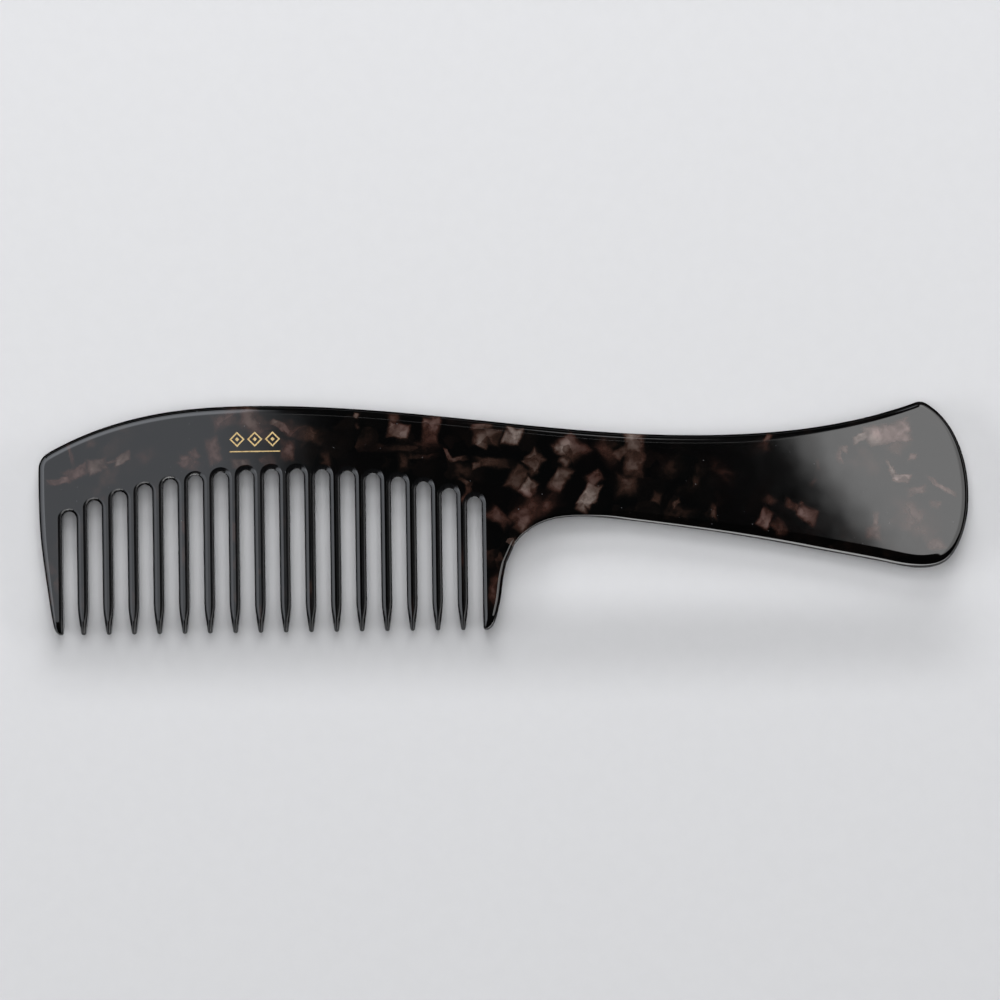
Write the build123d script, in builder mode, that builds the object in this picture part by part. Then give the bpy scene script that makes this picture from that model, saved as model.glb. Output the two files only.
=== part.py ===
"""A handled rake comb, sawn and polished from one sheet of cellulose acetate.

It lies on its back face with Z up.  X runs from the nose to the end of the handle, the
teeth point towards -Y, and the front face, which carries a stamped foil ornament, looks
along +Z.  The comb is one physical piece: its spine, handle, two guards and sixteen teeth
are regions of it that meet face to face, each in a node of its own.
"""

import os
from math import radians, sin, sqrt, tan

from build123d import *

os.makedirs("parts", exist_ok=True)

# Driving dimensions in millimetres.  "Height" is measured from the line of the tooth tips
# towards the spine, and x = 0 is the middle of the comb's length.
half_length = 110.2
comb_height = 53.8  # tooth tips to the crest of the spine
thickness = 4.8  # what is left of a 5 mm sheet after polishing
outer_round = 2.0  # rounded outer edge, front and back
slot_round = 1.0  # rounded edges of the slots and teeth
pitch = 6.0
slot_width = 3.5
slot_count = 17
first_slot_x = -102.95
tooth_width = pitch - slot_width
neck_x = 18.0  # where the handle begins
root_step = 0.5  # how far below the slots' round ends a tooth is joined to the spine

# The slot bottoms lie on an arch, a polynomial of u, which runs from -1 at the first slot
# to +1 at the last.
arch_terms = (38.75, 0.6, -6.2, 0.5, -2.1)

# Tooth tips: the sides turn in by a slight angle, and both faces thin down.
taper_height = 7.6  # where the sides begin to turn in
taper_straight = 4.4  # from here to the tip the sides are straight
taper_angle = 7.4
tip_thinning = 3.2  # height of the bevels on the front and back of every tip
tip_thickness = 2.4
tip_curve = 1.5  # power by which the thinning grows towards the tip
tip_round = 0.4
tooth_stations = [7.6, 6.5, 5.4, 4.4, 3.2, 2.4, 1.6, 0.9, 0.45, 0.18, 0.05, 0.0]  # heights

# The outline, as (x, height): up the nose, along the back to the crown of the handle, and
# round the end of the handle to the heel.
nose_edge = (-half_length, 34.0)
nose_corner = (-110.15, 41.95)
nose_corner_radius = 4.5
back_edge = [
    (-98.0, 47.9),
    (-80.7, 52.4),
    (-60.0, comb_height),
    (-35.0, 52.75),
    (0.0, 49.05),
    (27.0, 46.3),
    (50.0, 45.47),
    (73.0, 46.85),
]
crown_corner = (99.15, 52.95)
crown_corner_radius = 2.6
handle_edge = [
    (104.05, 49.3),
    (108.1, 42.5),
    (half_length, 30.0),
    (108.2, 19.8),
    (104.3, 14.55),
    (99.5, 13.3),
    (91.0, 14.6),
    (80.0, 16.85),
    (59.5, 20.87),
    (36.0, 24.62),
    (28.0, 25.67),
    (neck_x, 26.52),
    (10.5, 25.68),
    (4.9, 22.7),
]

# The outer edges of the two guards, as (x, height) from the root down to the start of the
# tip's thinning, and then the tips, as (outer x, inner x, height).
nose_guard_edge = [(-109.98, 25.5), (-109.2, 17.0), (-108.45, 11.3), (-107.7, 6.0), (-107.25, 3.2)]
nose_tip = [(-106.95, -104.7, 1.6), (-106.5, -104.72, 0.7), (-106.05, -104.8, 0.25), (-105.6, -105.0, 0.0)]
heel_guard_edge = [(2.45, 20.0), (0.35, 15.2), (-0.65, 10.0), (-1.3, 5.6), (-1.95, 3.2)]
heel_tip = [(-2.5, -5.2, 1.7), (-3.05, -5.17, 0.8), (-3.55, -5.05, 0.3), (-4.1, -4.8, 0.0)]
# A narrow section's corner radii are these shares of its width.
outer_share = 0.6
inner_share = 0.35
tooth_share = 0.42

# Foil ornament: three open lozenges in a row, each with a pip, over a thin rule.
foil_centre = (-58.7, 45.9)
foil_thickness = 0.05
foil_line = 0.32
lozenge_radius = 1.8
lozenge_pitch = 4.2
pip_radius = 0.5
rule_drop = 2.9  # from the lozenges' middle down to the rule
rule_width = 0.26

front_view = Plane(origin=(0, -comb_height / 2, 0))
foil_view = Plane(origin=(0, -comb_height / 2, thickness))


def across(height):
    """The plane that cuts across the comb at a height, with Z as its own y."""
    return Plane(origin=(0, height - comb_height / 2, 0), x_dir=(1, 0, 0), z_dir=(0, -1, 0))


def slot_x(index):
    return first_slot_x + index * pitch


def slot_top(index):
    """Height of the round end of a slot."""
    u = 2 * index / (slot_count - 1) - 1
    return sum(term * u**power for power, term in enumerate(arch_terms))


def slot_side_top(index):
    """Height at which a slot's straight sides meet its round end."""
    return slot_top(index) - slot_width / 2


def tooth_x(number):
    """Middle of a tooth; tooth 1 stands between the first two slots."""
    return first_slot_x + (number - 0.5) * pitch


def tooth_root(number):
    """Height at which a tooth leaves the spine, just below the round ends beside it."""
    return min(slot_side_top(number - 1), slot_side_top(number)) - root_step


def tooth_half_width(height):
    """Half the width of a tooth: straight, then an arc, a straight taper and a round end."""
    if height >= taper_height:
        return tooth_width / 2
    taper_radius = (taper_height - taper_straight) / sin(radians(taper_angle))
    along_arc = min(taper_height - height, taper_height - taper_straight)
    turned_in = taper_radius - sqrt(taper_radius**2 - along_arc**2)
    turned_in += max(0, taper_straight - height) * tan(radians(taper_angle))
    into_round = max(0, tip_round - height)
    return tooth_width / 2 - turned_in - tip_round + sqrt(tip_round**2 - into_round**2)


def tip_depth(height):
    """Thickness of a tooth or guard, which thins towards its tip on both faces."""
    reach = max(0, 1 - height / tip_thinning)
    return thickness - (thickness - tip_thickness) * reach**tip_curve


def rounded_section(left, right, height, left_radius, right_radius):
    """A blade cut across at one height, with its two sides rounded front and back."""
    with BuildSketch(across(height)) as section:
        with Locations(((left + right) / 2, thickness / 2)):
            Rectangle(right - left, tip_depth(height))
        corners = section.vertices().group_by(Axis.X)
        fillet(corners[0], left_radius)
        fillet(corners[-1], right_radius)
    return section.sketch


def guard_section(outer_x, inner_x, height):
    width = abs(outer_x - inner_x)
    outer_radius = min(outer_round, outer_share * width)
    inner_radius = min(slot_round, inner_share * width)
    if outer_x < inner_x:
        return rounded_section(outer_x, inner_x, height, outer_radius, inner_radius)
    return rounded_section(inner_x, outer_x, height, inner_radius, outer_radius)


def tooth_section(number, height):
    half_width = tooth_half_width(height)
    radius = min(slot_round, tooth_share * 2 * half_width)
    middle = tooth_x(number)
    return rounded_section(middle - half_width, middle + half_width, height, radius, radius)


# The outline of the whole plate, without its slots.
with BuildSketch(front_view) as outline:
    with BuildLine():
        nose_foot = (nose_guard_edge[-1][0], 0)
        heel_foot = (heel_guard_edge[-1][0], 0)
        Line(heel_foot, nose_foot)
        Line(nose_foot, nose_guard_edge[-1])
        Spline(*reversed(nose_guard_edge), nose_edge, nose_corner)
        Spline(nose_corner, *back_edge, crown_corner)
        Spline(crown_corner, *handle_edge, *heel_guard_edge)
        Line(heel_guard_edge[-1], heel_foot)
    make_face()
    fillet(outline.vertices().sort_by_distance((*nose_corner, 0))[0], nose_corner_radius)
    fillet(outline.vertices().sort_by_distance((*crown_corner, 0))[0], crown_corner_radius)


# The spine: everything left of the neck and above the roots of the teeth and guards.
with BuildPart() as spine:
    with BuildSketch(front_view):
        add(outline.sketch_local)
        split(bisect_by=Plane.YZ.offset(neck_x), keep=Keep.BOTTOM)
        for index in range(slot_count):
            with Locations((slot_x(index), slot_side_top(index))):
                Circle(slot_width / 2, mode=Mode.SUBTRACT)
                Rectangle(slot_width, comb_height, align=(Align.CENTER, Align.MAX), mode=Mode.SUBTRACT)
        for number in range(1, slot_count):
            with Locations((tooth_x(number), tooth_root(number))):
                Rectangle(pitch, comb_height, align=(Align.CENTER, Align.MAX), mode=Mode.SUBTRACT)
        with Locations((slot_x(0), nose_guard_edge[0][1])):
            Rectangle(half_length, comb_height, align=(Align.MAX, Align.MAX), mode=Mode.SUBTRACT)
        with Locations((slot_x(slot_count - 1), heel_guard_edge[0][1])):
            Rectangle(half_length, comb_height, align=(Align.MIN, Align.MAX), mode=Mode.SUBTRACT)
    extrude(amount=thickness)
    rims = spine.faces().filter_by(Axis.Z).edges()
    round_rims = rims.filter_by(GeomType.CIRCLE).group_by(SortBy.RADIUS)
    straight_rims = rims.filter_by(Axis.Y).filter_by_position(Axis.X, -half_length, neck_x - pitch)
    slot_rims = round_rims[0] + straight_rims
    fillet(rims.filter_by(GeomType.BSPLINE) + round_rims[-1], outer_round)
    fillet(slot_rims, slot_round)
spine.part.label = "spine"
export_step(spine.part, "parts/spine.step")


# The handle: everything right of the neck.
with BuildPart() as handle:
    with BuildSketch(front_view):
        add(outline.sketch_local)
        split(bisect_by=Plane.YZ.offset(neck_x), keep=Keep.TOP)
    extrude(amount=thickness)
    rims = handle.faces().filter_by(Axis.Z).edges()
    fillet(rims.filter_by(Axis.Y, reverse=True), outer_round)
handle.part.label = "handle"
export_step(handle.part, "parts/handle.step")


# The guards: the wide end teeth, lofted from their roots to the tips' thinning and on to
# their ends.
with BuildPart() as nose_guard:
    inner_x = slot_x(0) - slot_width / 2
    blade = [guard_section(outer_x, inner_x, height) for outer_x, height in nose_guard_edge]
    loft(sections=blade)
    loft(sections=[blade[-1]] + [guard_section(*corner) for corner in nose_tip], ruled=True)
nose_guard.part.label = "nose_guard"
export_step(nose_guard.part, "parts/nose_guard.step")

with BuildPart() as heel_guard:
    inner_x = slot_x(slot_count - 1) + slot_width / 2
    blade = [guard_section(outer_x, inner_x, height) for outer_x, height in heel_guard_edge]
    loft(sections=blade)
    loft(sections=[blade[-1]] + [guard_section(*corner) for corner in heel_tip], ruled=True)
heel_guard.part.label = "heel_guard"
export_step(heel_guard.part, "parts/heel_guard.step")


# The sixteen teeth between the slots.
for number in range(1, slot_count):
    with BuildPart() as tooth:
        heights = [tooth_root(number), *tooth_stations]
        loft(sections=[tooth_section(number, height) for height in heights], ruled=True)
    tooth.part.label = f"tooth_{number:02d}"
    export_step(tooth.part, f"parts/tooth_{number:02d}.step")


# The ornament of thin foil on the front face.
with BuildPart() as foil_mark:
    with BuildSketch(foil_view):
        with Locations(foil_centre):
            with GridLocations(lozenge_pitch, 0, 3, 1):
                RegularPolygon(lozenge_radius, 4)
                RegularPolygon(lozenge_radius - foil_line * sqrt(2), 4, mode=Mode.SUBTRACT)
                RegularPolygon(pip_radius, 4)
            with Locations((0, -rule_drop)):
                Rectangle(2 * (lozenge_pitch + lozenge_radius), rule_width)
    extrude(amount=foil_thickness)
foil_mark.part.label = "foil_mark"
export_step(foil_mark.part, "parts/foil_mark.step")
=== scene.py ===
"""Looks for the tortoiseshell acetate rake comb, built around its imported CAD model.

The comb lies on its back on a pale floor, and the camera looks straight down at its face.
Lengths are metres.  X runs from the nose to the handle's end, the teeth point to -Y.
"""

from math import cos, pi, radians, sin

import bpy
import numpy as np
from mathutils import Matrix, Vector
from mathutils.geometry import delaunay_2d_cdt
from mathutils.kdtree import KDTree


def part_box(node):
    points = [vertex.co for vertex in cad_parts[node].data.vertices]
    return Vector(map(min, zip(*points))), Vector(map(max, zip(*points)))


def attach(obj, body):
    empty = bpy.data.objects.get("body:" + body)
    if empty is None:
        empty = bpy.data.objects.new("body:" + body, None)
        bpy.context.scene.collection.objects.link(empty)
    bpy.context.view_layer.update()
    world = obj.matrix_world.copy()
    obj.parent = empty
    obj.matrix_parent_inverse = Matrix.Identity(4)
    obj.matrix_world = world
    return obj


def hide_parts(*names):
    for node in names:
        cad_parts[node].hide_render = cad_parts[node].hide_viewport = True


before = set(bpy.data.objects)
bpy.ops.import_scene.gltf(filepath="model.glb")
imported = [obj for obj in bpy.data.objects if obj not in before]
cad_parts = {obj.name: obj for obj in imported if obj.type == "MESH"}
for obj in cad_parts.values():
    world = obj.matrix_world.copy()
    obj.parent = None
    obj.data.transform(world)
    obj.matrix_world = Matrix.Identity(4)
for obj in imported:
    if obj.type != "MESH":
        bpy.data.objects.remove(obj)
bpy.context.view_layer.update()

MM = 0.001

# ---------------------------------------------------------------- sizes read from the frame

TEETH = sorted(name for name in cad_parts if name.startswith("tooth_"))
ACETATE = ["spine", "handle", "nose_guard", "heel_guard", *TEETH]

spine_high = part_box("spine")[1]
handle_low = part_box("handle")[0]
tooth_low, tooth_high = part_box(TEETH[0])
next_tooth_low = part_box(TEETH[1])[0]

THICKNESS = spine_high.z
MIDDLE = THICKNESS / 2
NECK_X = handle_low.x
TIP_Y = tooth_low.y
PITCH = next_tooth_low.x - tooth_low.x
TOOTH_WIDTH = tooth_high.x - tooth_low.x
SLOT_WIDTH = PITCH - TOOTH_WIDTH
SLOTS = [tooth_low.x - SLOT_WIDTH / 2 + PITCH * i for i in range(len(TEETH) + 1)]

# ---------------------------------------------------------------- rounding of the edges

# Width of the rounded edge, seen from the front.
OUTER_ROUND = 2.3 * MM
END_ROUND = 2.6 * MM  # at the handle's broad end
UNDER_ROUND = 3.1 * MM  # along the underside of the handle
OVER_ROUND = 1.6 * MM  # along the top of its broad part
HEEL_ROUND = 1.25 * MM  # in the notch between heel and handle
SLOT_ROUND = 0.95 * MM  # along the slots
SLOT_END_ROUND = 1.3 * MM  # above the round end of a slot, where the file ran out
NOSE_SLOT_END_ROUND = 0.7 * MM  # above the first slots
NARROW_SHARE = 0.86  # a rounding takes at most this share of the way to the middle of a tooth

# How far down the edge the rounding reaches.
OUTER_DEPTH = 2.05 * MM
SLOT_DEPTH = 0.8 * MM
UNDER_SLOPE = 0.72  # depth along the handle's underside, as a share of the width there
NOTCH_SHALLOWING = 0.8  # how far the notch goes from the outer depth to the slots' depth
UPRIGHT_EDGE = 0.2 * MM  # half of what stays upright at the middle of the edge, at least

# How full the rounding is: 2 makes it an arc, more makes it fuller, 1 makes it a bevel.
OUTER_BULGE = 2.5
END_BULGE = 3.0
ARC_BULGE = 2.0
UNDER_BULGE = 1.2
SLOT_BULGE = 1.12

TIP_THINNING = 3.4 * MM  # the last stretch of a tooth, which is bevelled front and back
TIP_KEEPS = 0.5  # share of the thickness left at the very tip
TIP_CURVE = 1.5  # power by which the thinning grows towards the tip
RIM = (0.35 * MM, 0.65 * MM)  # the outer edge is dull up to here, and fully polished from here
FLANK_REACH = 2.2  # how far up the slots' rounding the dull look of their walls reaches

# Regions of the outline.
TAPER_Y = TIP_Y + 9 * MM  # the tooth tips are below this
ARCH_Y = spine_high.y - 10 * MM  # the slots end below this
NOTCH_Y = 3 * MM  # the notch is below this
SLOT_SLACK = 0.02 * MM  # a point this far outside a slot still belongs to it

# Stretches of X over which one rounding gives way to another, from none to all of it.
NOSE_SLOTS_X = (-85 * MM, -60 * MM)
NOTCH_LEFT_X = (-8 * MM, -2 * MM)
NOTCH_RIGHT_X = (30 * MM, 17 * MM)
BENEATH_X = (6 * MM, 14 * MM)
UNDER_X = (40 * MM, 75 * MM)
OVER_X = (58 * MM, 78 * MM)
END_X = (92 * MM, 110 * MM)

# How squarely an edge faces along Y, from where it doesn't count to where it fully does.
FACING_Y = (0.1, 0.7)
SLOT_END_FACING_Y = (0.1, 0.95)

# Times that a value is averaged with its neighbours along the outline.
SAWN_ROUNDS = 6
WIDTH_ROUNDS = 8
BULGE_ROUNDS = 10
DEPTH_ROUNDS = 12

# ---------------------------------------------------------------- fineness of the mesh

RING_ANGLES = [0, 4, 9, 17, 26, 36, 45, 54, 63, 71, 78, 83, 87, 89, 90]  # degrees up the rounding
LONGEST_STEP = 1.2 * MM
LARGEST_TURN = radians(7)
LONG_RUN = 4  # a chord this many times longer than the next one is a straight run
FACE_GRID = 2.5 * MM  # spacing of the points on the flat of the face
GRID_REACH = (112 * MM, 28 * MM)  # the grid's half length and half height, a little past the comb
GRID_CLEARANCE = 0.6 * FACE_GRID  # no closer to the edge of the flat
CUT_HEIGHT = MIDDLE + 0.003 * MM  # just off the middle, where no corner of the mesh lies
SEAM_SLACK = 0.01 * MM
NO_LENGTH = 1e-6
SAME_POINT = 1e-8

# ---------------------------------------------------------------- the comb's outline


def cut_through(node):
    """Where a node's triangles cross the sheet's middle: segments, and which ends are true.

    An end is true when it lies on an upright edge of the mesh: it is then a corner of the
    outline, and not just a place where the diagonal of a wall crosses the plane.
    """
    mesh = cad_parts[node].data
    mesh.calc_loop_triangles()
    places = np.empty(3 * len(mesh.vertices))
    mesh.vertices.foreach_get("co", places)
    places = places.reshape(-1, 3)
    triangles = np.empty(3 * len(mesh.loop_triangles), int)
    mesh.loop_triangles.foreach_get("vertices", triangles)
    start = triangles.reshape(-1, 3)
    end = np.roll(start, -1, axis=1)
    above = places[:, 2] - CUT_HEIGHT
    crossing = above[start] * above[end] < 0
    cut = crossing.sum(axis=1) == 2
    start, end, crossing = start[cut], end[cut], crossing[cut]
    start, end = start[crossing], end[crossing]
    share = above[start] / (above[start] - above[end])
    side = places[end] - places[start]
    points = (places[start] + side * share[:, None])[:, :2].reshape(-1, 2, 2)
    upright = np.hypot(side[:, 0], side[:, 1]).reshape(-1, 2) < NO_LENGTH
    return points, upright


def on_seams(points):
    """Which segments belong to the flat faces where two nodes meet."""
    seams = [(0, NECK_X, -1, 1)]
    for node in ["nose_guard", "heel_guard", *TEETH]:
        low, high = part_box(node)
        seams.append((1, high.y, low.x - SEAM_SLACK, high.x + SEAM_SLACK))
    found = np.zeros(len(points), bool)
    for axis, seam, low, high in seams:
        across, along = points[:, :, axis], points[:, :, 1 - axis]
        flat = np.abs(across - seam).max(axis=1) < 3 * NO_LENGTH
        found |= flat & (along.min(axis=1) > low) & (along.max(axis=1) < high)
    return found


def outline_corners():
    """The comb's outline as one closed loop of points, counter-clockwise."""
    cuts = [cut_through(node) for node in ACETATE]
    segments = np.concatenate([points for points, _ in cuts])
    upright = np.concatenate([flags for _, flags in cuts])
    outside = ~on_seams(segments)
    points = segments[outside].reshape(-1, 2)
    upright = upright[outside].reshape(-1)
    tree = KDTree(len(points))
    for i, (x, y) in enumerate(points):
        tree.insert((x, y, 0), i)
    tree.balance()
    # Ends that lie in one place share the number of the first of them.
    corner = np.full(len(points), -1)
    for i, (x, y) in enumerate(points):
        if corner[i] < 0:
            for _, other, _ in tree.find_range((x, y, 0), 4 * NO_LENGTH):
                if corner[other] < 0:
                    corner[other] = i
    beside, true = {}, {}
    for i in range(0, len(points), 2):
        a, b = corner[i], corner[i + 1]
        true[a] = true.get(a, False) or upright[i]
        true[b] = true.get(b, False) or upright[i + 1]
        if a != b:
            beside.setdefault(a, set()).add(b)
            beside.setdefault(b, set()).add(a)
    start = corner[points[:, 0].argmin()]
    loop, before, here = [], None, start
    while here != start or not loop:
        loop.append(here)
        before, here = here, next(n for n in beside[here] if n != before)
    x, y = points[[n for n in loop if true[n]]].T
    if np.sum(x * np.roll(y, -1) - np.roll(x, -1) * y) < 0:
        x, y = x[::-1], y[::-1]
    return np.column_stack([x, y])


def unit(vectors):
    return vectors / np.linalg.norm(vectors, axis=-1, keepdims=True)


def smooth_outline(corners):
    """Points along a smooth curve through the corners, closer together where it turns."""
    chords = np.roll(corners, -1, axis=0) - corners
    lengths = np.hypot(chords[:, 0], chords[:, 1])
    ahead, behind = unit(chords), np.roll(unit(chords), 1, axis=0)
    after, before = lengths[:, None], np.roll(lengths, 1)[:, None]
    tangents = unit(ahead * before + behind * after)
    tangents = np.where(after > LONG_RUN * before, ahead, tangents)
    tangents = np.where(before > LONG_RUN * after, behind, tangents)
    points = []
    for i, (start, length) in enumerate(zip(corners, lengths)):
        j = (i + 1) % len(corners)
        turn = np.arccos(np.clip(tangents[i] @ tangents[j], -1, 1))
        count = int(np.ceil(max(length / LONGEST_STEP, turn / LARGEST_TURN)))
        t = np.arange(count)[:, None] / count
        points.append(
            (2 * t**3 - 3 * t**2 + 1) * start
            + (t**3 - 2 * t**2 + t) * length * tangents[i]
            + (3 * t**2 - 2 * t**3) * corners[j]
            + (t**3 - t**2) * length * tangents[j]
        )
    return np.clip(np.concatenate(points), corners.min(axis=0), corners.max(axis=0))


outline = smooth_outline(outline_corners())
ahead = np.roll(outline, -1, axis=0) - outline
behind = outline - np.roll(outline, 1, axis=0)
lengths = np.hypot(ahead[:, 0], ahead[:, 1])[:, None]
tangent = unit(unit(ahead) * np.roll(lengths, 1, axis=0) + unit(behind) * lengths)
inward = np.column_stack([-tangent[:, 1], tangent[:, 0]])

# ---------------------------------------------------------------- the comb's surface


def step(low, high, value):
    """Smooth step from 0 at low to 1 at high."""
    t = np.clip((value - low) / (high - low), 0, 1)
    return t * t * (3 - 2 * t)


def soften(values, rounds):
    """The values averaged with their neighbours along the outline."""
    for _ in range(rounds):
        values = (np.roll(values, 1, axis=0) + 2 * values + np.roll(values, -1, axis=0)) / 4
    return values


def room_inside():
    """Radius of the largest disc inside the outline that touches it at each point."""
    room = np.empty(len(outline))
    for i, (point, normal) in enumerate(zip(outline, inward)):
        gap = outline - point
        reach = gap @ normal
        facing = reach > NO_LENGTH
        room[i] = (np.sum(gap[facing] ** 2, axis=1) / (2 * reach[facing])).min()
    return room


def tip_scale(y):
    """Share of the thickness that is left at y, and how fast it changes along Y."""
    reach = np.clip(1 - (y - TIP_Y) / TIP_THINNING, 0, 1)
    scale = 1 - (1 - TIP_KEEPS) * reach**TIP_CURVE
    return scale, TIP_CURVE * (1 - TIP_KEEPS) * reach ** (TIP_CURVE - 1) / TIP_THINNING


# Where each region of the outline is, as a share from 0 to 1 at every point.
x, y = outline.T
half_slot = SLOT_WIDTH / 2 + SLOT_SLACK
in_slots = np.abs(x[:, None] - np.array(SLOTS)).min(axis=1) < half_slot
between_slots = (x > SLOTS[0] - half_slot) & (x < SLOTS[-1] + half_slot) & (y < TAPER_Y)
sawn = (in_slots & (y < ARCH_Y) | between_slots).astype(float)  # 1 on slots, 0 on the outer edge
sawn = soften(sawn, SAWN_ROUNDS)
slot_end = sawn * step(*SLOT_END_FACING_Y, inward[:, 1])
in_notch = (1 - sawn) * step(*NOTCH_RIGHT_X, x) * step(*NOTCH_LEFT_X, x) * (y < NOTCH_Y)
at_end = step(*END_X, x)
under = step(*FACING_Y, inward[:, 1]) * (1 - sawn)  # 1 where the outer edge looks down the photo
over = step(*FACING_Y, -inward[:, 1]) * (1 - sawn)  # 1 where it looks up the photo
beneath = under * (1 - at_end) * (1 - in_notch) * step(*BENEATH_X, x)  # the handle's underside

# The rounding's width, depth and bulge there.
after_nose = step(*NOSE_SLOTS_X, x)
slot_end_round = NOSE_SLOT_END_ROUND + (SLOT_END_ROUND - NOSE_SLOT_END_ROUND) * after_nose
width = OUTER_ROUND + (END_ROUND - OUTER_ROUND) * at_end + (HEEL_ROUND - OUTER_ROUND) * in_notch
width += (UNDER_ROUND - width) * under * step(*UNDER_X, x)
width += (OVER_ROUND - width) * over * step(*OVER_X, x)
width += (SLOT_ROUND + (slot_end_round - SLOT_ROUND) * slot_end - width) * sawn
depth = OUTER_DEPTH + (SLOT_DEPTH - OUTER_DEPTH) * np.maximum(sawn, NOTCH_SHALLOWING * in_notch)
depth += (UNDER_SLOPE * width - depth) * beneath
depth = np.minimum(soften(depth, DEPTH_ROUNDS)[:, None], MIDDLE - UPRIGHT_EDGE)
widest = NARROW_SHARE * room_inside()
width = np.minimum(soften(np.minimum(width, widest), WIDTH_ROUNDS), widest)[:, None]
bulge = OUTER_BULGE + (END_BULGE - OUTER_BULGE) * at_end
bulge += (ARC_BULGE - bulge) * np.maximum(in_notch, under) * (1 - at_end)
bulge += (UNDER_BULGE - bulge) * beneath
bulge = soften(bulge + (SLOT_BULGE - bulge) * sawn, BULGE_ROUNDS)[:, None]

# The rounding itself, as rings of points from the middle of the edge up to the flat.
rings, ring_normals, rims = [], [], []
outer = (1 - sawn) * (1 - under)
for angle in np.radians(RING_ANGLES):
    across, up = max(cos(angle), 0), sin(angle)
    inset = 1 - across ** (2 / bulge)
    place = outline + inward * width * inset
    rise = MIDDLE - depth * (1 - up ** (2 / bulge))
    scale, slope = tip_scale(place[:, 1:])
    normal = np.hstack([-inward * depth * across ** (2 - 2 / bulge), width * up ** (2 - 2 / bulge)])
    normal[:, 1:2] -= rise * slope / scale * normal[:, 2:]
    normal[:, 2:] /= scale
    rings.append(np.hstack([place, MIDDLE + rise * scale]))
    ring_normals.append(unit(normal))
    rims.append(outer * step(RIM[1], RIM[0], (width * inset)[:, 0]))

# The flat of the face: the last ring, filled, with a grid of points inside it.
count = len(outline)
last_ring = rings[-1][:, :2]
reach_x, reach_y = GRID_REACH
grid = np.mgrid[-reach_x:reach_x:FACE_GRID, -reach_y:reach_y:FACE_GRID].reshape(2, -1).T
grid[:, 0] += np.where(np.round(grid[:, 1] / FACE_GRID) % 2 > 0.5, FACE_GRID / 2, 0)
clear = [np.hypot(*(last_ring - point).T).min() > GRID_CLEARANCE for point in grid]
grid = grid[np.array(clear)]
edges = [(i, (i + 1) % count) for i in range(count)]
corners = [Vector(point) for point in (*last_ring, *grid)]
flat = delaunay_2d_cdt(corners, edges, [], 1, SAME_POINT)
face_points = np.array([tuple(point) for point in flat[0]])
face_triangles = [tuple(triangle) for triangle in flat[2]]
came_from = [origin[0] if origin else -1 for origin in flat[3]]
scale, slope = tip_scale(face_points[:, 1:])

# The front half is the rings and then the grid; the back half mirrors it.
ring_count = len(rings)
rounded = ring_count * count
number = {}
new_places, new_normals = [], []
used = {i for triangle in face_triangles for i in triangle}
for i in sorted(used):
    if 0 <= came_from[i] < count:
        number[i] = rounded - count + came_from[i]
    else:
        number[i] = rounded + len(new_places)
        new_places.append((*face_points[i], MIDDLE + MIDDLE * scale[i, 0]))
        new_normals.append((0, -MIDDLE * slope[i, 0], 1))
front = np.vstack([*rings, new_places])
front_normals = np.vstack([*ring_normals, unit(np.array(new_normals))])
back = front * (1, 1, -1) + (0, 0, THICKNESS)
back_normals = front_normals * (1, 1, -1)
size = len(front)

faces = []
for ring in range(ring_count - 1):
    for i in range(count):
        j = (i + 1) % count
        a, b = ring * count, (ring + 1) * count
        faces.append((a + i, a + j, b + j, b + i))
faces += [tuple(number[i] for i in triangle) for triangle in face_triangles]
faces += [tuple(size + i for i in reversed(face)) for face in faces]
faces += [(size + i, size + (i + 1) % count, (i + 1) % count, i) for i in range(count)]

mesh = bpy.data.meshes.new("comb_acetate")
mesh.from_pydata(np.vstack([front, back]).tolist(), [], faces)
mesh.validate()
mesh.update()
mesh.shade_smooth()
mesh.normals_split_custom_set_from_vertices(np.vstack([front_normals, back_normals]).tolist())


def mark(name, ring_values):
    """A value for the material at every point of the mesh: 0 on the flat of both faces."""
    half = np.zeros(size)
    half[:rounded] = np.concatenate(ring_values)
    mesh.attributes.new(name, "FLOAT", "POINT").data.foreach_set("value", np.tile(half, 2))


mark("sawn", [sawn * min(1, FLANK_REACH * cos(radians(angle))) for angle in RING_ANGLES])
mark("rim", rims)

comb = bpy.data.objects.new("comb_acetate", mesh)
bpy.context.scene.collection.objects.link(comb)
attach(comb, "root")
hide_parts(*ACETATE)

# ---------------------------------------------------------------- materials

# Grain of the noises, in features per metre.
WARP_GRAIN = 260.0
PATCH_GRAIN = 38.0
CLOUD_GRAIN = 170.0
SMOKE_GRAIN = 420.0
TINT_GRAIN = 75.0
POLISH_GRAIN = 240.0
WAVE_GRAIN = 95.0
WEAR_GRAIN = 2600.0
FIBRE_GRAIN = 260.0

WARP_REACH = 2.4 * MM  # how far the noise pulls the outlines of the chips about
WAVE_HEIGHT = 0.012 * MM
DUST_CELL = 1.9 * MM  # there is at most one speck in a cell
DUST_RADIUS = 0.075  # of the largest specks, as a share of a cell
CHIP_SKEW = 0.17  # how far a chip's outline may depart from a rectangle, to either side
CHIP_WANE = (0.15, 0.5)  # how far a chip fades if its row doesn't say
LEAST_BLUR, BLUR_GAIN, MOST_BLUR = 0.06, 1.3, 0.9
ACETATE_IOR = 1.49

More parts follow.
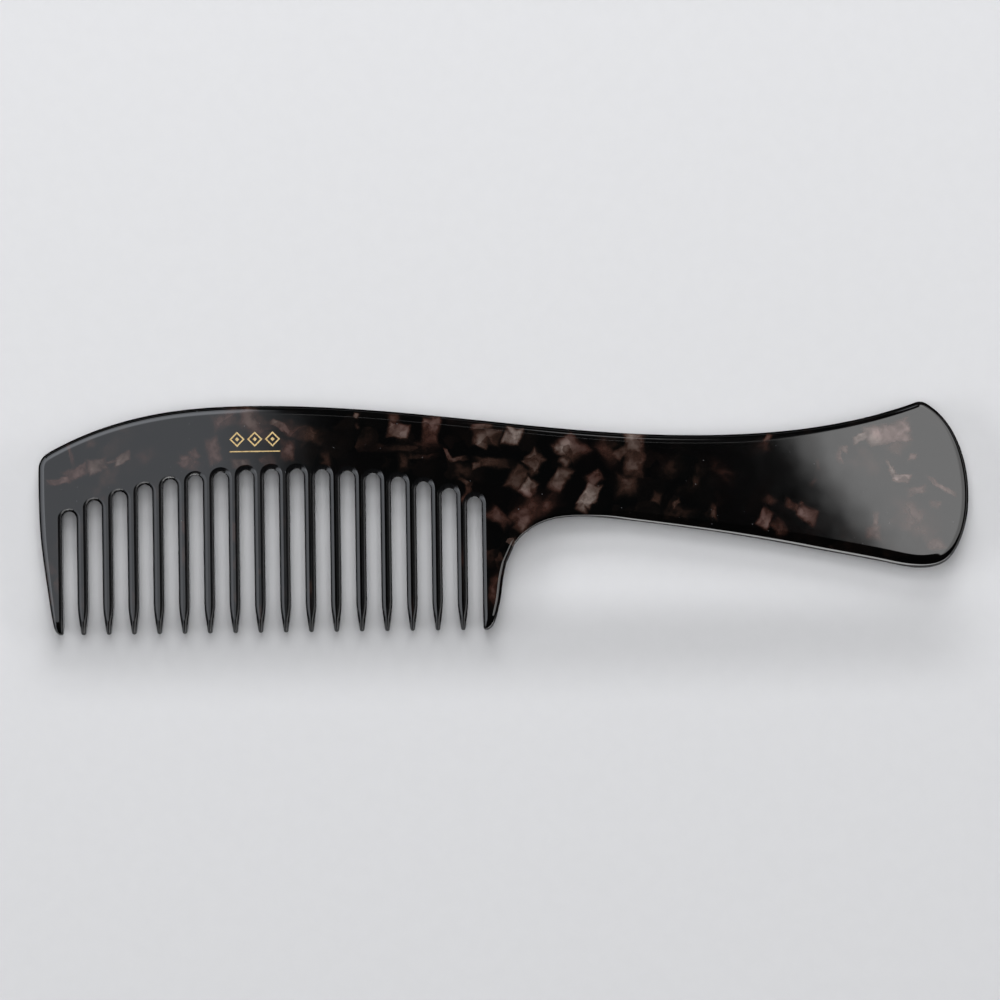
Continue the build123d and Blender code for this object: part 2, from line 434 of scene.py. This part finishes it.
# The acetate's colour at each paleness.
TONES = [
    (0.00, (0.0010, 0.0010, 0.0011)),
    (0.10, (0.0034, 0.0023, 0.0021)),
    (0.30, (0.025, 0.0118, 0.0090)),
    (0.55, (0.068, 0.0425, 0.0375)),
    (0.80, (0.122, 0.087, 0.080)),
    (1.00, (0.185, 0.134, 0.125)),
]
WARM_TINT = (1.04, 0.96, 0.95, 1)
COOL_TINT = (0.93, 1.02, 0.98, 1)
DUST_COLOUR = (0.16, 0.165, 0.175, 1)
FLANK_COLOUR = (0.004, 0.004, 0.0045, 1)
FOIL_COLOUR = (0.60, 0.44, 0.21, 1)
WORN_FOIL_COLOUR = (0.34, 0.22, 0.09, 1)
PAPER_COLOUR = (0.578, 0.582, 0.598, 1)
BLACK = (0, 0, 0, 1)


class Nodes:
    """A material's node tree, with short ways to add to it."""

    def __init__(self, name):
        self.material = bpy.data.materials.new(name)
        self.material.use_nodes = True
        self.tree = self.material.node_tree
        self.shader = self.tree.nodes["Principled BSDF"]
        self.place = self.add("TexCoord").outputs["Object"]

    def add(self, kind, inputs=None, **settings):
        node = self.tree.nodes.new("ShaderNode" + kind)
        for key, value in settings.items():
            setattr(node, key, value)
        for key, value in (inputs or {}).items():
            self.put(node.inputs[key], value)
        return node

    def put(self, socket, value):
        if isinstance(value, bpy.types.NodeSocket):
            self.tree.links.new(value, socket)
        else:
            socket.default_value = value

    def shade(self, name, value):
        """Sets an input of the material's shader."""
        self.put(self.shader.inputs[name], value)

    def math(self, operation, *values):
        return self.add("Math", dict(enumerate(values)), operation=operation).outputs[0]

    def vector(self, operation, first, second):
        return self.add("VectorMath", {0: first, 1: second}, operation=operation).outputs[0]

    def scale(self, vector, factor):
        inputs = {0: vector, "Scale": factor}
        return self.add("VectorMath", inputs, operation="SCALE").outputs[0]

    def split(self, vector):
        """The x, y and z of a vector."""
        return self.add("SeparateXYZ", {0: vector}).outputs

    def ramp(self, value, low, high, to_low=0.0, to_high=1.0):
        """Goes smoothly from to_low to to_high while the value goes from low to high."""
        inputs = {"Value": value, "From Min": low, "From Max": high}
        inputs |= {"To Min": to_low, "To Max": to_high}
        return self.add("MapRange", inputs, interpolation_type="SMOOTHSTEP").outputs[0]

    def mix(self, share, first, second, **settings):
        inputs = {"Factor": share, 6: first, 7: second}
        return self.add("Mix", inputs, data_type="RGBA", **settings).outputs[2]

    def noise(self, vector, scale, detail, roughness=0.5):
        inputs = {"Vector": vector, "Scale": scale, "Detail": detail, "Roughness": roughness}
        return self.add("TexNoise", inputs)

    def attribute(self, name):
        """A value that the mesh carries."""
        return self.add("Attribute", attribute_name=name).outputs["Fac"]


# Chips of paler acetate in the front face, listed one by one, in millimetres:
# x, y, length, width, turn in degrees, paleness, blur of the edge, and how far it fades
# along its length.  A chip whose fade is 0 gets a fade by chance, towards either end.
CHIPS = [
    # the nose
    (-105.6, 9.7, 5.7, 1.4, 6, 0.55, 0.3, 0.0),
    (-101.0, 11.8, 6.2, 2.1, 20, 0.5, 0.35, 0.1),
    (-102.2, 15.4, 5.2, 0.9, -75, 0.42, 0.4, 0.0),
    (-97.3, 18.9, 2.4, 1.9, 20, 0.4, 0.4, 0.0),
    (-95.8, 13.4, 4.3, 3.1, 12, 0.66, 0.3, 0.15),
    (-92.7, 14.1, 2.8, 0.9, 15, 0.44, 0.4, 0.0),
    (-89.9, 14.7, 3.8, 2.1, 20, 0.62, 0.25, 0.0),
    (-93.2, 10.8, 4.3, 4.3, 0, 0.38, 0.6, 0.3),
    (-96.8, 6.3, 4.7, 3.1, 10, 0.28, 0.7, 0.0),
    (-84.9, 15.4, 5.7, 2.8, 20, 0.26, 0.7, 0.0),
    (-74.2, 13.6, 5.2, 2.4, -20, 0.46, 0.5, 0.2),
    (-73.1, 15.5, 2.4, 2.1, 30, 0.42, 0.5, 0.0),
    (-68.5, 16.3, 5.7, 3.1, -75, 0.64, 0.35, 0.1),
    (-65.7, 23.7, 6.2, 3.8, 20, 0.46, 0.5, 0.0),
    (-81.4, 7.3, 4.7, 3.8, 20, 0.22, 0.7, 0.0),
    # around the foil
    (-58.6, 22.9, 8.1, 5.2, -30, 0.5, 0.5, 0.2),
    (-53.6, 22.3, 4.0, 1.7, -25, 0.66, 0.3, 0.0),
    (-51.2, 21.3, 2.4, 1.4, -38, 0.6, 0.35, 0.0),
    (-46.2, 20.1, 10.4, 3.3, -15, 0.46, 0.5, 0.4),
    (-51.0, 16.3, 3.3, 4.3, 0, 0.5, 0.5, 0.0),
    (-62.4, 13.2, 4.0, 2.1, 0, 0.5, 0.5, 0.0),
    (-55.3, 13.6, 3.3, 3.3, 30, 0.4, 0.4, 0.2),
    (-42.2, 13.9, 2.1, 3.8, 0, 0.3, 0.6, 0.0),
    (-34.9, 24.4, 1.2, 0.9, -30, 0.62, 0.5, 0.0),
    (-34.6, 22.1, 1.4, 0.9, -60, 0.4, 0.6, 0.0),
    # the middle of the spine
    (-25.6, 23.4, 2.4, 1.9, 0, 0.42, 0.5, 0.0),
    (-24.7, 20.7, 5.0, 3.3, -6, 0.74, 0.15, 0.15),
    (-17.1, 20.2, 6.2, 3.6, -95, 0.86, 0.25, 0.6),
    (-18.7, 16.9, 2.8, 2.4, 20, 0.34, 0.6, 0.3),
    (-23.7, 16.5, 12.3, 1.7, -4, 0.32, 0.5, 0.0),
    (-23.5, 13.1, 1.9, 3.6, 0, 0.3, 0.6, 0.0),
    (-19.7, 14.5, 5.7, 1.2, -6, 0.34, 0.5, 0.0),
    (-13.0, 14.7, 3.1, 0.9, -66, 0.6, 0.25, 0.0),
    (-10.7, 13.7, 3.6, 0.9, 14, 0.46, 0.4, 0.0),
    (-8.8, 10.8, 5.7, 3.1, -8, 0.32, 0.6, 0.3),
    (-6.4, 12.4, 2.1, 1.7, 10, 0.68, 0.3, 0.0),
    (-9.5, 8.4, 3.1, 1.2, -30, 0.5, 0.4, 0.0),
    (-8.5, 5.6, 1.4, 4.3, -12, 0.44, 0.5, 0.0),
    (-1.9, 12.6, 7.6, 2.1, -5, 0.36, 0.5, 0.3),
    # the neck
    (-3.8, 18.8, 5.7, 3.3, -8, 0.62, 0.35, 0.2),
    (-5.0, 21.2, 3.8, 1.4, -5, 0.6, 0.4, 0.0),
    (2.2, 19.0, 4.0, 3.8, -10, 1.0, 0.18, 0.1),
    (-5.0, 17.2, 2.8, 1.4, -24, 0.68, 0.3, 0.0),
    (7.4, 13.0, 4.0, 4.0, 44, 0.62, 0.2, 0.15),
    (6.7, 10.4, 2.1, 2.1, 40, 0.46, 0.5, 0.0),
    (3.3, 9.2, 5.5, 3.3, 60, 0.36, 0.25, 0.2),
    (6.0, 6.6, 4.0, 3.6, 52, 0.8, 0.22, 0.15),
    (16.4, 15.7, 5.9, 4.7, -45, 0.9, 0.35, 0.5),
    (15.0, 13.1, 2.8, 2.1, 50, 0.56, 0.4, 0.0),
    (13.3, 8.4, 5.5, 3.1, 62, 0.62, 0.3, -0.2),
    (21.6, 8.7, 3.1, 2.8, 35, 0.56, 0.35, 0.2),
    (20.4, 4.7, 5.9, 3.3, 62, 0.82, 0.14, 0.12),
    (18.8, 2.1, 2.4, 2.4, 62, 0.66, 0.4, 0.2),
    (31.1, 16.9, 5.4, 4.0, -100, 0.98, 0.35, 0.3),
    (28.3, 14.8, 4.0, 2.1, 42, 0.58, 0.4, 0.0),
    (30.9, 11.9, 5.6, 3.6, -95, 0.68, 0.6, 0.2),
    (29.7, 7.0, 4.4, 4.0, 0, 0.64, 0.7, 0.0),
    (5.7, 1.4, 7.6, 4.5, 50, 0.6, 0.6, 0.2),
    (10.0, 2.7, 6.2, 3.6, 25, 0.42, 0.7, 0.4),
    (4.1, -1.5, 3.8, 2.6, 60, 0.6, 0.5, 0.0),
    (-1.4, -0.2, 5.5, 2.8, -42, 0.46, 0.4, 0.2),
    (24.7, 14.9, 5.5, 3.1, -50, 0.34, 0.6, 0.2),
    (25.6, 17.0, 3.1, 2.4, 20, 0.3, 0.6, 0.0),
    (-2.8, -17.5, 1.9, 6.4, -6, 0.44, 0.7, 0.0),
    # the slim part of the handle
    (36.1, 4.0, 2.4, 2.1, 70, 0.42, 0.5, 0.3),
    (40.8, 2.5, 1.9, 1.2, 30, 0.5, 0.5, 0.0),
    (42.0, 0.4, 4.7, 2.4, -20, 0.3, 0.7, 0.0),
    (46.0, 7.5, 1.4, 2.6, 0, 0.36, 0.7, 0.0),
    (49.4, 0.3, 1.4, 3.3, 0, 0.42, 0.7, 0.0),
    (39.2, 10.4, 5.2, 3.3, 30, 0.22, 0.8, 0.0),
    (51.5, 10.2, 5.7, 2.8, -30, 0.2, 0.8, 0.0),
    # the broad part of the handle
    (61.0, 15.8, 4.3, 2.4, 10, 0.3, 0.6, 0.0),
    (63.1, 17.7, 1.4, 1.9, -20, 0.5, 0.5, 0.0),
    (62.7, 3.0, 2.6, 1.9, -40, 0.36, 0.5, 0.0),
    (61.9, -1.3, 4.5, 3.1, 60, 0.7, 0.2, 0.2),
    (65.3, -3.7, 4.0, 2.8, -50, 0.48, 0.4, 0.4),
    (68.8, 1.5, 4.0, 1.9, -30, 0.38, 0.4, 0.2),
    (71.9, -0.3, 4.5, 3.1, -35, 0.7, 0.35, 0.1),
    (74.3, 11.1, 0.9, 2.4, 0, 0.46, 0.5, 0.0),
    (73.6, 6.8, 2.1, 0.9, 40, 0.36, 0.5, 0.0),
    (80.4, 14.6, 2.6, 1.7, 0, 0.72, 0.4, 0.0),
    (79.7, 13.2, 1.2, 2.8, 0, 0.66, 0.4, 0.0),
    (90.9, 18.2, 8.3, 4.6, 14, 0.95, 0.3, 0.1),
    (85.2, 17.8, 4.3, 1.7, 24, 0.95, 0.25, 0.0),
    (94.3, 19.6, 4.3, 3.3, 15, 0.9, 0.4, 0.2),
    (93.2, 15.4, 4.3, 3.3, -30, 0.72, 0.5, 0.0),
    (91.4, 11.1, 0.7, 2.1, 20, 0.8, 0.5, 0.0),
    (96.8, 12.7, 1.2, 1.7, 0, 0.7, 0.5, 0.0),
    (94.2, 7.7, 3.8, 1.9, -3, 1.0, 0.2, 0.0),
    (92.1, 9.4, 1.4, 2.1, 30, 0.8, 0.5, 0.0),
    (97.5, 4.9, 4.0, 1.9, 10, 0.62, 0.5, 0.0),
    (103.7, 5.7, 6.4, 0.9, -30, 0.66, 0.4, 0.0),
    (87.8, -2.1, 1.2, 3.1, -6, 0.6, 0.5, 0.0),
    (87.3, -5.0, 3.1, 3.6, 0, 0.5, 0.5, 0.0),
    (102.3, 1.2, 2.4, 1.7, 0, 0.55, 0.5, 0.0),
    (95.9, -1.8, 1.7, 2.4, 20, 0.45, 0.6, 0.0),
    (102.0, -7.8, 3.8, 2.6, 10, 0.5, 0.5, 0.0),
    (97.8, -2.3, 10.4, 6.2, -25, 0.42, 0.9, 0.0),
    (86.6, 11.6, 8.1, 5.2, -30, 0.3, 0.9, 0.0),
]

acetate = Nodes("acetate_tortoiseshell")
warp = acetate.noise(acetate.place, WARP_GRAIN, detail=3.0).outputs["Color"]
warp = acetate.scale(acetate.vector("SUBTRACT", warp, (0.5, 0.5, 0.5)), WARP_REACH)
spot = acetate.vector("ADD", acetate.place, warp)


def with_chip(paler, chip, skew, flip, wane):
    """The paleness at the shaded point after one more chip is laid over the others.

    The chip's z is unused, and takes the paleness so far: Cycles then works out the chips
    one after another, and does not run out of room for so many at once.
    """
    x, y, length, breadth, turn, pale, blur, fade = chip
    if not fade:
        turn, fade = turn + 180 * flip, wane
    blur = min(MOST_BLUR, LEAST_BLUR + BLUR_GAIN * blur)
    inputs = {
        "Vector": spot,
        "Location": acetate.add("CombineXYZ", {0: x * MM, 1: y * MM, 2: paler}).outputs[0],
        "Rotation": (0, 0, radians(turn)),
        "Scale": (length / 2 * MM, breadth / 2 * MM, 1),
    }
    inside = acetate.add("Mapping", inputs, vector_type="TEXTURE").outputs[0]
    along, across, _ = acetate.split(inside)
    away = (acetate.math("ABSOLUTE", along), acetate.math("ABSOLUTE", across))
    away = acetate.math("MAXIMUM", *away)
    lean = acetate.math("MULTIPLY", along, across)
    lean = acetate.add("Clamp", {"Value": lean, "Min": -1.0, "Max": 1.0}).outputs[0]
    away = acetate.math("MULTIPLY_ADD", lean, skew, away)
    shown = acetate.ramp(away, 1 + blur, 1 - blur, 0.0, pale)
    shown = acetate.math("MULTIPLY", shown, acetate.ramp(along, -1.0, 1.0, 1.0, 1 - fade))
    return acetate.math("MAXIMUM", paler, shown)


chance = np.random.default_rng(11)
skews = chance.uniform(-CHIP_SKEW, CHIP_SKEW, len(CHIPS))
flips = chance.integers(0, 2, len(CHIPS))
wanes = chance.uniform(*CHIP_WANE, len(CHIPS))
paleness = 0.0
for chip, skew, flip, wane in zip(CHIPS, skews, flips, wanes):
    paleness = with_chip(paleness, chip, skew, flip, wane)


def scattered(size, turn, shift, low, high, pale):
    """Random chips of about one size in millimetres, each fading to one side.

    Every chip has a tone by chance: up to low it is dark, and from high on fully pale.
    """
    per_metre = 1 / (size * MM)
    inputs = {"Vector": spot, "Location": shift, "Rotation": turn, "Scale": (1, 1, 0.6)}
    turned = acetate.add("Mapping", inputs).outputs[0]
    inputs = {"Vector": turned, "Scale": per_metre, "Randomness": 0.75}
    cells = acetate.add("TexVoronoi", inputs, distance="CHEBYCHEV")
    tone = acetate.add("SeparateColor", {0: cells.outputs["Color"]}).outputs[0]
    here = acetate.scale(turned, per_metre)
    middle = acetate.scale(cells.outputs["Position"], per_metre)
    side = acetate.split(acetate.vector("SUBTRACT", here, middle))[0]
    fade = acetate.ramp(side, -0.5, 0.6, 1.0, 0.25)
    shown = acetate.ramp(tone, low, high, 0.0, pale)
    return acetate.math("MULTIPLY", shown, fade)


large = scattered(5.2, (0.3, 0.2, 0.6), (0.011, 0.004, 0.002), 0.55, 1.0, 0.42)
small = scattered(3.1, (0.1, 0.4, -0.4), (0.003, 0.013, 0.007), 0.6, 1.0, 0.34)
layers = scattered(3.9, (0.2, -0.3, 0.95), (0.002, 0.005, 0.0), 0.35, 0.9, 0.55)
patches = acetate.noise(acetate.place, PATCH_GRAIN, detail=1.0).outputs[0]
patches = acetate.ramp(patches, 0.38, 0.62, 0.1, 1.0)
random_chips = acetate.math("MULTIPLY", acetate.math("MAXIMUM", large, small), patches)

# The random chips show fully on the back and on the teeth, and faintly on the rest of the
# front, where the listed chips show.
here_x, here_y, here_z = acetate.split(acetate.place)
below_spine = acetate.ramp(here_y, 6 * MM, -4 * MM, 0.4, 1.0)
left_of_heel = acetate.ramp(here_x, 12 * MM, 2 * MM, 0.4, 1.0)
near_teeth = acetate.math("MINIMUM", below_spine, left_of_heel)
share = acetate.ramp(here_z, 0.8 * MM, 2.2 * MM, 1.0, near_teeth)
random_chips = acetate.math("MULTIPLY", random_chips, share)
share = acetate.ramp(here_z, 1.0 * MM, 3.0 * MM, 0.6, 1.0)
paleness = acetate.math("MULTIPLY", paleness, share)
paleness = acetate.math("MAXIMUM", paleness, random_chips)

# Cloudiness inside the chips, fine and coarse, and darker layers that lie over them.
cloud = acetate.noise(acetate.place, CLOUD_GRAIN, detail=2.0).outputs[0]
paleness = acetate.math("MULTIPLY", paleness, acetate.ramp(cloud, 0.36, 0.62, 0.72, 1.12))
smoke = acetate.noise(spot, SMOKE_GRAIN, detail=3.0, roughness=0.6).outputs[0]
paleness = acetate.math("MULTIPLY", paleness, acetate.ramp(smoke, 0.33, 0.62, 0.6, 1.02))
paleness = acetate.math("MULTIPLY", paleness, acetate.ramp(layers, 0.0, 1.0, 1.05, 0.35))

# Colour, with a tint that wanders between warm and cool, and specks of dust on top.
tones = acetate.add("ValToRGB", {"Fac": paleness})
darkest, *between, palest = TONES
tones.color_ramp.elements[0].color = (*darkest[1], 1)
tones.color_ramp.elements[1].color = (*palest[1], 1)
for pale, tone in between:
    tones.color_ramp.elements.new(pale).color = (*tone, 1)
tint = acetate.noise(acetate.place, TINT_GRAIN, detail=0.0).outputs[0]
tint = acetate.mix(acetate.ramp(tint, 0.4, 0.6), WARM_TINT, COOL_TINT)
colour = acetate.mix(1.0, tones.outputs[0], tint, blend_type="MULTIPLY")
specks = acetate.add("TexVoronoi", {"Vector": acetate.place, "Scale": 1 / DUST_CELL})
by_size, by_tone, _ = acetate.add("SeparateColor", {0: specks.outputs["Color"]}).outputs
radius = acetate.ramp(by_size, 0.3, 1.0, 0.0, DUST_RADIUS)
dust = acetate.math("LESS_THAN", specks.outputs["Distance"], radius)
dust = acetate.math("MULTIPLY", dust, acetate.ramp(by_tone, 0.2, 1.0, 0.1, 0.75))
colour = acetate.mix(dust, colour, DUST_COLOUR)
flank = acetate.attribute("sawn")
acetate.shade("Base Color", acetate.mix(flank, colour, FLANK_COLOUR))

# Polish: high on the faces, dull on the sawn flanks and on the rim of the outer edge.
rim = acetate.attribute("rim")
acetate.shade("Specular IOR Level", acetate.ramp(rim, 0.0, 1.0, 0.5, 0.0))
polish = acetate.noise(acetate.place, POLISH_GRAIN, detail=3.0).outputs[0]
roughness = acetate.ramp(polish, 0.3, 0.7, 0.045, 0.058)
acetate.shade("Roughness", acetate.ramp(flank, 0.0, 1.0, roughness, 0.16))
acetate.shade("IOR", ACETATE_IOR)
wave = acetate.noise(acetate.place, WAVE_GRAIN, detail=1.0).outputs[0]
inputs = {"Height": wave, "Strength": 1.0, "Distance": WAVE_HEIGHT}
acetate.shade("Normal", acetate.add("Bump", inputs).outputs[0])
mesh.materials.append(acetate.material)

foil = Nodes("gold_foil")
worn = foil.noise(foil.place, WEAR_GRAIN, detail=3.0).outputs[0]
worn = foil.ramp(worn, 0.42, 0.7)
foil.shade("Base Color", foil.mix(worn, FOIL_COLOUR, WORN_FOIL_COLOUR))
foil.shade("Metallic", 1.0)
foil.shade("Roughness", foil.ramp(worn, 0.0, 1.0, 0.32, 0.5))
for slot_of_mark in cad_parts["foil_mark"].material_slots:
    slot_of_mark.material = foil.material

# ---------------------------------------------------------------- floor

FLOOR = 6.0  # half the side of it
FLOOR_DROP = 0.02 * MM  # a hair below the comb's back
SHADE = 0.2  # how dark the painted shadow below the tips is, at most

floor_corners = [(-FLOOR, -FLOOR, 0), (FLOOR, -FLOOR, 0), (FLOOR, FLOOR, 0), (-FLOOR, FLOOR, 0)]
floor_mesh = bpy.data.meshes.new("floor")
floor_mesh.from_pydata(floor_corners, [], [(0, 1, 2, 3)])
floor = bpy.data.objects.new("floor", floor_mesh)
floor.location.z = -FLOOR_DROP
bpy.context.scene.collection.objects.link(floor)

paper = Nodes("floor_paper")
across_floor, up_floor, _ = paper.split(paper.place)
# Painted shadow: a soft darker band across the paper just below the tooth tips, fading out beyond
# the comb's ends, mixed into the paper's colour together with its fibres.
painted_shadow = paper.ramp(up_floor, -16 * MM, -28 * MM)
painted_shadow = paper.math("MULTIPLY", painted_shadow, paper.ramp(up_floor, -46 * MM, -30 * MM))
sideways = paper.math("ABSOLUTE", across_floor)
painted_shadow = paper.math("MULTIPLY", painted_shadow, paper.ramp(sideways, 122 * MM, 96 * MM, 0.0, SHADE))
fibres = paper.noise(paper.place, FIBRE_GRAIN, detail=4.0).outputs[0]
fibres = paper.ramp(fibres, 0.3, 0.7, 0.0, 0.012)
shadow_and_fibres = paper.math("ADD", painted_shadow, fibres)
paper.shade("Base Color", paper.mix(shadow_and_fibres, PAPER_COLOUR, BLACK))
paper.shade("Roughness", 0.9)
floor_mesh.materials.append(paper.material)

# ---------------------------------------------------------------- light

HIGH = 1.2  # height of most soft boxes
A_LITTLE = 0.01  # keeps boxes that overlap, seen from below, at heights of their own
COOL = (0.93, 0.97, 1.04)
WHITE = (1, 1, 1)
FACING_DOWN = (0, 0, 0)
FACING_RIGHT = (0, radians(-90), 0)
FACING_LEFT = (0, radians(90), 0)
FACING_FRONT = (radians(-90), 0, 0)
FACING_BACK = (radians(90), 0, 0)
WORLD_GREY = 0.012


def panel(name, radiance, size, place, turn=FACING_DOWN, fades=(), mirrored=True, colour=WHITE):
    """A soft box.

    The mirrored ones are what the polish reflects; the others light the paper and the chips.
    A fade is a direction in degrees from +X, how far along it from the origin the box starts
    to glow, and how far along it the glow is full.
    """
    light = bpy.data.lights.new(name, "AREA")
    light.shape = "RECTANGLE"
    light.size, light.size_y = size
    light.energy = radiance * size[0] * size[1] * pi
    light.color = colour
    lamp = bpy.data.objects.new(name, light)
    lamp.location = place
    lamp.rotation_euler = turn
    lamp.visible_glossy = mirrored
    lamp.visible_diffuse = not mirrored
    bpy.context.scene.collection.objects.link(lamp)
    if fades:
        add_fades(light, fades)


def add_fades(light, fades):
    """Makes a light fade out across itself; each fade dims what the one before it leaves."""
    light.use_nodes = True
    tree = light.node_tree
    position = tree.nodes.new("ShaderNodeNewGeometry").outputs["Position"]
    strength = tree.nodes["Emission"].inputs["Strength"]
    for direction, start, end in fades:
        along = tree.nodes.new("ShaderNodeVectorMath")
        along.operation = "DOT_PRODUCT"
        along.inputs[1].default_value = (cos(radians(direction)), sin(radians(direction)), 0)
        tree.links.new(position, along.inputs[0])
        fade = tree.nodes.new("ShaderNodeMapRange")
        fade.interpolation_type = "SMOOTHSTEP"
        fade.inputs["From Min"].default_value = start
        fade.inputs["From Max"].default_value = end
        tree.links.new(along.outputs["Value"], fade.inputs["Value"])
        if strength.links:
            tree.links.new(strength.links[0].from_socket, fade.inputs["To Max"])
        tree.links.new(fade.outputs[0], strength)


left_fades = [(180, 0.095, 0.151)]
left_back_fades = [(90, 0.25, 0.5), (180, 0.09, 0.17)]
right_fades = [(36, 0.134, 0.154), (0, 0.13, 0.175), (180, -0.54, -0.42)]
low, lower = HIGH - A_LITTLE, HIGH - 2 * A_LITTLE

# What the faces and edges reflect: cool on the left, white elsewhere.
panel("left_panel", 1.6, (1.3, 1.6), (-0.745, 0.5, HIGH), fades=left_fades, colour=COOL)
panel("left_wall", 1.9, (1.16, 3.0), (-1.4, -0.3, 0.61), FACING_RIGHT, colour=COOL)
panel("left_strip", 2.0, (0.6, 2.2), (-1.05, 0.1, low), colour=COOL)
panel("left_high_strip", 1.2, (0.5, 2.2), (-1.39, 0.1, 0.9), FACING_RIGHT, colour=COOL)
panel("left_back", 2.6, (1.26, 0.5), (-0.78, 1.4, 0.94), FACING_FRONT, colour=COOL)
panel("left_back_strip", 2.4, (1.25, 1.15), (-0.77, 0.78, low), fades=left_back_fades, colour=COOL)
panel("top_strip", 2.6, (0.30, 0.015), (0.03, 0.18, low))
panel("right_panel", 4.0, (0.5, 1.8), (0.33, 0.5, HIGH), fades=right_fades)
panel("right_far_panel", 2.6, (1.0, 1.8), (0.9, 0.5, low), fades=[(0, 0.42, 0.54)])
panel("right_wall", 1.9, (0.27, 3.0), (1.4, -0.3, 0.145), FACING_LEFT)
panel("right_strip", 1.4, (1.0, 0.2), (0.65, 0.42, lower), fades=[(0, 0.12, 0.26)])
panel("front_wall", 6.5, (2.8, 0.22), (0.5, -1.4, 0.12), FACING_BACK)

# What lights the paper and the chips.
to_front, to_front_low = (radians(-46), 0, 0), (radians(-67.5), 0, 0)
to_right, to_left = (0, radians(-70), 0), (0, radians(70), 0)
panel("overhead", 1.48, (1.4, 2.0), (0.0, 0.0, 1.6), mirrored=False)
panel("high_key", 5.0, (1.3, 0.5), (0.0, 1.15, 1.1), to_front, mirrored=False)
panel("key", 17.5, (1.1, 0.35), (0.0, 1.5, 0.62), to_front_low, mirrored=False)
panel("from_left", 10.0, (0.35, 1.2), (-1.5, 0.0, 0.55), to_right, mirrored=False)
panel("from_right", 7.0, (0.35, 1.2), (1.5, 0.0, 0.55), to_left, mirrored=False)

world = bpy.data.worlds.new("studio")
world.use_nodes = True
bpy.context.scene.world = world
background = world.node_tree.nodes["Background"]
background.inputs["Color"].default_value = (WORLD_GREY, WORLD_GREY, WORLD_GREY, 1)

# ---------------------------------------------------------------- camera

SENSOR = 36  # millimetres, like the lens
LENS = 151.74
CAMERA_PLACE = (-0.85 * MM, 3.82 * MM, 1.0024)
CAMERA_ROLL = radians(-0.771)

camera_data = bpy.data.cameras.new("camera")
camera_data.sensor_width = SENSOR
camera_data.lens = LENS
camera = bpy.data.objects.new("camera", camera_data)
camera.location = CAMERA_PLACE
camera.rotation_euler = (0, 0, CAMERA_ROLL)
bpy.context.scene.collection.objects.link(camera)
bpy.context.scene.camera = camera
bpy.context.scene.view_settings.view_transform = "Standard"
